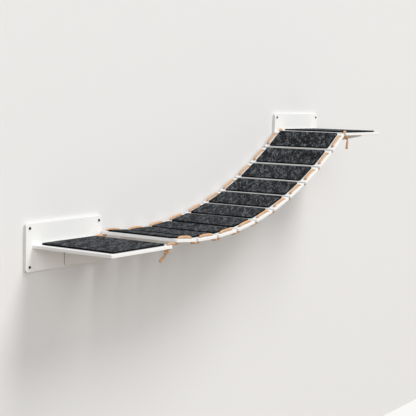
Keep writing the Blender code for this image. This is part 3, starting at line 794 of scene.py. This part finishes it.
strand_profile = bpy.data.curves.new("strand_profile", "CURVE")
strand_profile.dimensions = "2D"
profile = strand_profile.splines.new("POLY")
profile.use_cyclic_u = True
side_count = 3 * STRAND_STEPS
profile.points.add(side_count - 1)
crowns = []
for step, target in enumerate(profile.points):
    turn = 360 * step / side_count
    off_crown = (turn + STRAND_ANGLE_DEG / 2) % STRAND_ANGLE_DEG - STRAND_ANGLE_DEG / 2
    crowns.append(max(0.0, math.cos(math.radians(1.5 * off_crown))) ** CROWN_POWER)
    radius = ROPE_RADIUS * (GROOVE_SHARE + (1 - GROOVE_SHARE) * crowns[-1])
    target.co = (*(radius * unit_at(turn)), 0.0, 1.0)
profile_object = in_scene("strand_profile", strand_profile)


def laid_tube(name, course, wide, stations):
    """The whole rope as one mesh: the three-lobed profile swept along the route and turned as it goes."""
    curve = bpy.data.curves.new(name, "CURVE")
    curve.dimensions = "3D"
    curve.bevel_mode = "OBJECT"
    curve.bevel_object = profile_object
    curve.use_fill_caps = False
    spline = curve.splines.new("POLY")
    spline.points.add(len(course) - 1)
    spline.points.foreach_set("co", np.concatenate([course, np.ones((len(course), 1))], axis=1).ravel())
    spline.points.foreach_set("radius", wide)
    spline.points.foreach_set("tilt", math.tau * stations / LAY_LENGTH)
    carrier = in_scene(name, curve)
    mesh = bpy.data.meshes.new_from_object(carrier.evaluated_get(bpy.context.evaluated_depsgraph_get()))
    bpy.data.objects.remove(carrier)
    assert len(mesh.vertices) == side_count * len(course), "the swept rope has lost a ring"
    ring, side = np.divmod(np.arange(len(mesh.vertices)), side_count)
    around = math.tau * side / side_count + math.tau * stations[ring] / LAY_LENGTH
    straight = np.stack([
        ROPE_RADIUS * np.cos(around), ROPE_RADIUS * np.sin(around), stations[ring]], axis=1).astype(np.float32)
    mesh.attributes.new("rope_place", "FLOAT_VECTOR", "POINT").data.foreach_set("vector", straight.ravel())
    mesh.attributes.new("crown", "FLOAT", "POINT").data.foreach_set("value", np.array(crowns, np.float32)[side])
    mesh.attributes.new("ring", "INT", "POINT").data.foreach_set("value", ring.astype(np.int32))
    return mesh


def rope_piece(name, whole, first, last):
    """The stretch of the rope's mesh between two rings, closed at both ends."""
    bm = bmesh.new()
    bm.from_mesh(whole)
    ring = bm.verts.layers.int["ring"]
    bmesh.ops.delete(bm, geom=[vert for vert in bm.verts if not first <= vert[ring] <= last], context="VERTS")
    bmesh.ops.holes_fill(bm, edges=[edge for edge in bm.edges if edge.is_boundary], sides=0)
    bmesh.ops.recalc_face_normals(bm, faces=bm.faces[:])
    mesh = as_mesh(bm, name)
    mesh.shade_smooth()
    mesh.materials.clear()
    mesh.materials.append(twisted)
    return in_scene(name, mesh)


rope_spread = (lower_high.y - lower_low.y) / 2 - ROPE_END_INSET
for side_name, side in (("front", -1), ("back", 1)):
    line_y = bridge_middle + side * rope_spread
    points, shares = rope_route(line_y, (TAIL_COURSES["lower_" + side_name], TAIL_COURSES["upper_" + side_name]))
    course, wide, stations = evenly(points, shares, RING_SPACING)
    whole = laid_tube(side_name + "_rope_whole", course, wide, stations)

    def ring_at(number, share, height=ROPE_SEAT + SLAT_THICKNESS + ROPE_SEAT):
        """The ring of the rope nearest to this share of a slat's pitch, at this height over its rope line."""
        turn = Matrix.Rotation(tilts[number - 1], 2)
        spot = pivots[number - 1] + turn @ Vector((PITCH * share, height))
        return int(np.argmin((course[:, 0] - spot.x) ** 2 + (course[:, 2] - spot.y) ** 2))

    cuts = [0] + [ring_at(number, 0.5) for number in range(1, SLAT_COUNT + 1)] + [len(course) - 1]
    bodies = ["wall_units"] + [f"slat_{number:02d}" for number in range(1, SLAT_COUNT + 1)] + ["wall_units"]
    for gap in range(SLAT_COUNT + 1):
        name = f"{side_name}_rope_{gap:02d}"
        if gap == OPEN_GAP_NUMBER:
            meeting = ring_at(gap + 1, MEETING_SHARE, 0.0)
            for title, first, last, body in (
                    (name + "_low", cuts[gap], meeting, bodies[gap]),
                    (name + "_high", meeting, cuts[gap + 1], bodies[gap + 1])):
                part = rope_piece(title, whole, first, last)
                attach(part, body)
                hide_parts(side_name + "_rope")
            continue
        part = rope_piece(name, whole, cuts[gap], cuts[gap + 1])
        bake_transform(part)
        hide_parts(side_name + "_rope")
    bpy.data.meshes.remove(whole)
bpy.data.objects.remove(profile_object)


# Screws. Black pan-head screws with a cross recess hold the plates to the wall, and countersunk steel screws join
# the boards: through the plates into shelf and gusset, and down through each shelf under its mat.
HEAD_RADIUS = 0.00425
HEAD_HEIGHT = 0.003
PAN_HEAD_SHARES = (
    (0.0, 1.0), (0.30, 0.985), (0.55, 0.93), (0.75, 0.80), (0.90, 0.60), (0.98, 0.32), (1.0, 0.10), (0.97, 0.0))
WALL_SHANK = ((0.00225, 0.0), (0.00225, -0.012))
WALL_SCREW_TIP = -0.040
WALL_RECESS = (HEAD_HEIGHT, 0.0022, 0.0016)
SUNK_HEAD = ((0.0, 0.0), (0.0033, 0.0), (0.0035, -0.0002), (0.00175, -0.0025), (0.00175, -0.008))
SUNK_SCREW_TIP = -0.030
SUNK_RECESS = (0.0, 0.0019, 0.0014)
THREAD_PITCH = 0.0016
THREAD_DEPTH = 0.00045
POINT_LENGTH = 0.004
TURNING_STEPS = 32
RECESS_FLOOR_SHARE = 0.35
RECESS_BLADE_SHARE = 0.26
FIRST_TURN_DEG = 23
TURN_STEP_DEG = 61
FACING_WALL = Matrix.Rotation(math.radians(-90), 4, "X")


def turned_screw(profile, tip):
    """A screw on its own Z axis, turned about Z: the head's and shank's profile, then the thread and the point."""
    line = list(profile)
    shank, level = profile[-1]
    while level - THREAD_PITCH > tip + POINT_LENGTH:
        line += [
            (shank - THREAD_DEPTH, level), (shank, level - 0.45 * THREAD_PITCH),
            (shank, level - 0.55 * THREAD_PITCH)]
        level -= THREAD_PITCH
    line += [(shank - THREAD_DEPTH, level), (0.0, tip)]
    bm = bmesh.new()
    verts = [bm.verts.new((radius, 0.0, height)) for radius, height in line]
    edges = [bm.edges.new(pair) for pair in zip(verts, verts[1:])]
    bmesh.ops.spin(
        bm, geom=verts + edges, cent=(0.0, 0.0, 0.0), axis=(0.0, 0.0, 1.0), angle=math.tau, steps=TURNING_STEPS,
        use_merge=True)
    bmesh.ops.remove_doubles(bm, verts=bm.verts, dist=0.00001)
    bmesh.ops.recalc_face_normals(bm, faces=bm.faces[:])
    return bm


def recess_cutter(top, reach, depth):
    """A tapered cross, to be sunk into a screw's head."""
    bm = bmesh.new()
    for turn in (0, 90):
        made = bmesh.ops.create_cone(
            bm, cap_ends=True, segments=4, radius1=RECESS_FLOOR_SHARE * reach, radius2=reach, depth=depth * 2,
            matrix=Matrix.Rotation(math.radians(turn), 4, "Z") @ Matrix.Diagonal((1.0, RECESS_BLADE_SHARE, 1.0, 1.0)))
        bmesh.ops.translate(bm, vec=(0.0, 0.0, top), verts=made["verts"])
    return in_scene("recess", as_mesh(bm, "recess"))


def brushed_metal(name, colour, rough, metallic, worn):
    """Plated or blackened metal with fine turning marks and a few bright rubs."""
    material, tree, shader = surface(name, IOR=1.5, Metallic=metallic)
    place = put(tree, "ShaderNodeTexCoord").outputs["Object"]
    marks = grains(tree, place, scale=1800.0, roughness=0.6)
    rubs = ramp(tree, grains(tree, place, scale=420.0, detail=4.0, roughness=0.6), 0.56, 0.74)
    rubbed = mixed(tree, maths(tree, "MULTIPLY", rubs, 0.5), (*colour, 1.0), (*worn, 1.0))
    tree.links.new(rubbed, shader["Base Color"])
    tree.links.new(maths(tree, "MULTIPLY_ADD", marks, 0.25, rough), shader["Roughness"])
    embossed(tree, shader, marks, strength=0.3, distance=0.00005)
    return material


black_metal = brushed_metal(
    "blackened_screw", colour=(0.018, 0.017, 0.017), rough=0.30, metallic=0.7, worn=(0.10, 0.10, 0.10))
zinc_metal = brushed_metal(
    "zinc_screw", colour=(0.56, 0.56, 0.54), rough=0.28, metallic=1.0, worn=(0.70, 0.69, 0.66))
pan_head = tuple((across * HEAD_RADIUS, up * HEAD_HEIGHT) for across, up in PAN_HEAD_SHARES) + WALL_SHANK


def screw_piece(name, profile, tip, recess, place, material, node):
    """A turned screw with its recess cut, set in place."""
    blank = in_scene(name + "_blank", as_mesh(turned_screw(profile, tip), name))
    cutter = recess_cutter(*recess)
    cut = blank.modifiers.new("recess", "BOOLEAN")
    cut.operation = "DIFFERENCE"
    cut.solver = "EXACT"
    cut.use_self = True
    cut.object = cutter
    mesh = bpy.data.meshes.new_from_object(blank.evaluated_get(bpy.context.evaluated_depsgraph_get()))
    bpy.data.objects.remove(blank)
    bpy.data.objects.remove(cutter)
    mesh.name = name
    mesh.transform(place)
    mesh.materials.clear()
    mesh.materials.append(material)
    mesh.shade_smooth()
    mesh.set_sharp_from_angle(angle=math.radians(35))
    obj = in_scene(name, mesh)
    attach(obj, "wall_units")
    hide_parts(node)


for unit in UNITS:
    for number in range(1, 5):
        node = f"{unit}_wall_screw_{number}"
        low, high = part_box(node)
        middle = (low + high) / 2
        turn = Matrix.Rotation(math.radians(FIRST_TURN_DEG + TURN_STEP_DEG * number), 4, "Z")
        place = Matrix.Translation((middle.x, low.y + HEAD_HEIGHT, middle.z)) @ FACING_ROOM @ turn
        screw_piece(
            node + "_black", pan_head, WALL_SCREW_TIP, WALL_RECESS, place, black_metal, node)
    for title in ("shelf_screw_1", "shelf_screw_2", "gusset_screw_1", "gusset_screw_2", "top_screw_1"):
        node = f"{unit}_{title}"
        low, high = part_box(node)
        middle = (low + high) / 2
        if title == "top_screw_1":
            place = Matrix.Translation((middle.x, middle.y, high.z))
        else:
            place = Matrix.Translation((middle.x, high.y, middle.z)) @ FACING_WALL
        screw_piece(
            node + "_zinc", SUNK_HEAD, SUNK_SCREW_TIP, SUNK_RECESS, place, zinc_metal, node)


# Stage. A pale floor a metre below and a pale upright backdrop on the mounting plane, seen from its front alone,
# under even, soft light from above and in front.
FLOOR_DROP = 1.0
BACKDROP_GAP = 0.0004
STAGE_REACH = 14.0
STAGE_MIDDLE_X = 0.6
FLOOR_COLOUR = (0.80, 0.80, 0.795)
BACKDROP_COLOUR = (0.75, 0.75, 0.75)
BOUNCE = (0.30, 0.258, 0.22)
SKY_LIGHT = (0.98, 0.99, 1.0, 1.0)
SKY_STRENGTH = 0.52
SURROUND = (0.84, 0.84, 0.845, 1.0)


def stage_plane(name, colour, place, camera_only):
    """A large plane that shows only its front; the backdrop also lets every ray but the camera's through. What the
    floor sends back to the object has the bounce's colour."""
    bm = bmesh.new()
    bmesh.ops.create_grid(bm, x_segments=1, y_segments=1, size=STAGE_REACH, matrix=place)
    mesh = as_mesh(bm, name)
    material, tree, shader = surface(name + "_finish", Roughness=0.9, Specular_IOR_Level=0.1)
    to_camera = put(tree, "ShaderNodeLightPath").outputs["Is Camera Ray"]
    tree.links.new(mixed(tree, to_camera, (*BOUNCE, 1.0), (*colour, 1.0)), shader["Base Color"])
    shown = maths(tree, "SUBTRACT", 1.0, put(tree, "ShaderNodeNewGeometry").outputs["Backfacing"])
    if camera_only:
        shown = maths(tree, "MULTIPLY", shown, to_camera)
    clear = put(tree, "ShaderNodeBsdfTransparent").outputs[0]
    one_sided = put(
        tree, "ShaderNodeMixShader", {0: shown, 1: clear, 2: tree.nodes["Principled BSDF"].outputs[0]})
    tree.links.new(one_sided.outputs[0], tree.nodes["Material Output"].inputs["Surface"])
    mesh.materials.append(material)
    plane = in_scene(name, mesh)


floor_level = cad_low.z - FLOOR_DROP
stage_plane("floor", FLOOR_COLOUR, Matrix.Translation((STAGE_MIDDLE_X, 0.0, floor_level)), False)
stage_plane(
    "backdrop", BACKDROP_COLOUR,
    Matrix.Translation((STAGE_MIDDLE_X, BACKDROP_GAP, floor_level + STAGE_REACH)) @ FACING_ROOM, True)

world = bpy.data.worlds.new("surround")
bpy.context.scene.world = world
world.use_nodes = True
sky = world.node_tree
rays = put(sky, "ShaderNodeLightPath").outputs
seen = maths(sky, "MAXIMUM", rays["Is Camera Ray"], maths(
    sky, "MAXIMUM", rays["Is Glossy Ray"], rays["Is Transmission Ray"]))
light = sky.nodes["Background"]
light.inputs["Color"].default_value = SKY_LIGHT
light.inputs["Strength"].default_value = SKY_STRENGTH
surround = put(sky, "ShaderNodeBackground", {"Color": SURROUND, "Strength": 1.0})
both = put(sky, "ShaderNodeMixShader", {0: seen, 1: light.outputs[0], 2: surround.outputs[0]})
sky.links.new(both.outputs[0], sky.nodes["World Output"].inputs["Surface"])


def soft_lamp(name, towards, strength, spread_deg, colour=(1.0, 1.0, 1.0)):
    """An even lamp far away in this direction, wide enough for soft shadows."""
    lamp = bpy.data.lights.new(name, "SUN")
    lamp.energy = strength
    lamp.angle = math.radians(spread_deg)
    lamp.color = colour
    in_scene(name, lamp).rotation_euler = Vector(towards).to_track_quat("Z", "Y").to_euler()


soft_lamp("overhead", towards=(0.25, -0.50, 0.83), strength=2.2, spread_deg=26, colour=(1.0, 0.99, 0.97))
soft_lamp("front", towards=(-0.55, -0.80, 0.25), strength=1.3, spread_deg=50)
bpy.context.scene.view_settings.view_transform = "Standard"


# Camera. A long lens from the front left, nearly level with the upper shelf. It looks down by under six degrees and
# is rolled by a little over one.
HEADING = 0.6019
DOWNWARD = 0.0988
ROLL = 0.0225
CAMERA_PLACE = (-2.4782, -2.2341, 0.4436)
LENS_MM = 94.92
SENSOR_MM = 36.0
forward = Vector((
    math.cos(HEADING) * math.cos(DOWNWARD), math.sin(HEADING) * math.cos(DOWNWARD), -math.sin(DOWNWARD)))
level_right = Vector((math.sin(HEADING), -math.cos(HEADING), 0.0))
level_up = level_right.cross(forward)
right = level_right * math.cos(ROLL) + level_up * math.sin(ROLL)
up = level_up * math.cos(ROLL) - level_right * math.sin(ROLL)
camera = in_scene("camera", bpy.data.cameras.new("camera"))
camera.data.sensor_width = SENSOR_MM
camera.data.lens = LENS_MM
camera.matrix_world = Matrix.Translation(CAMERA_PLACE) @ Matrix((right, up, -forward)).transposed().to_4x4()
bpy.context.scene.camera = camera
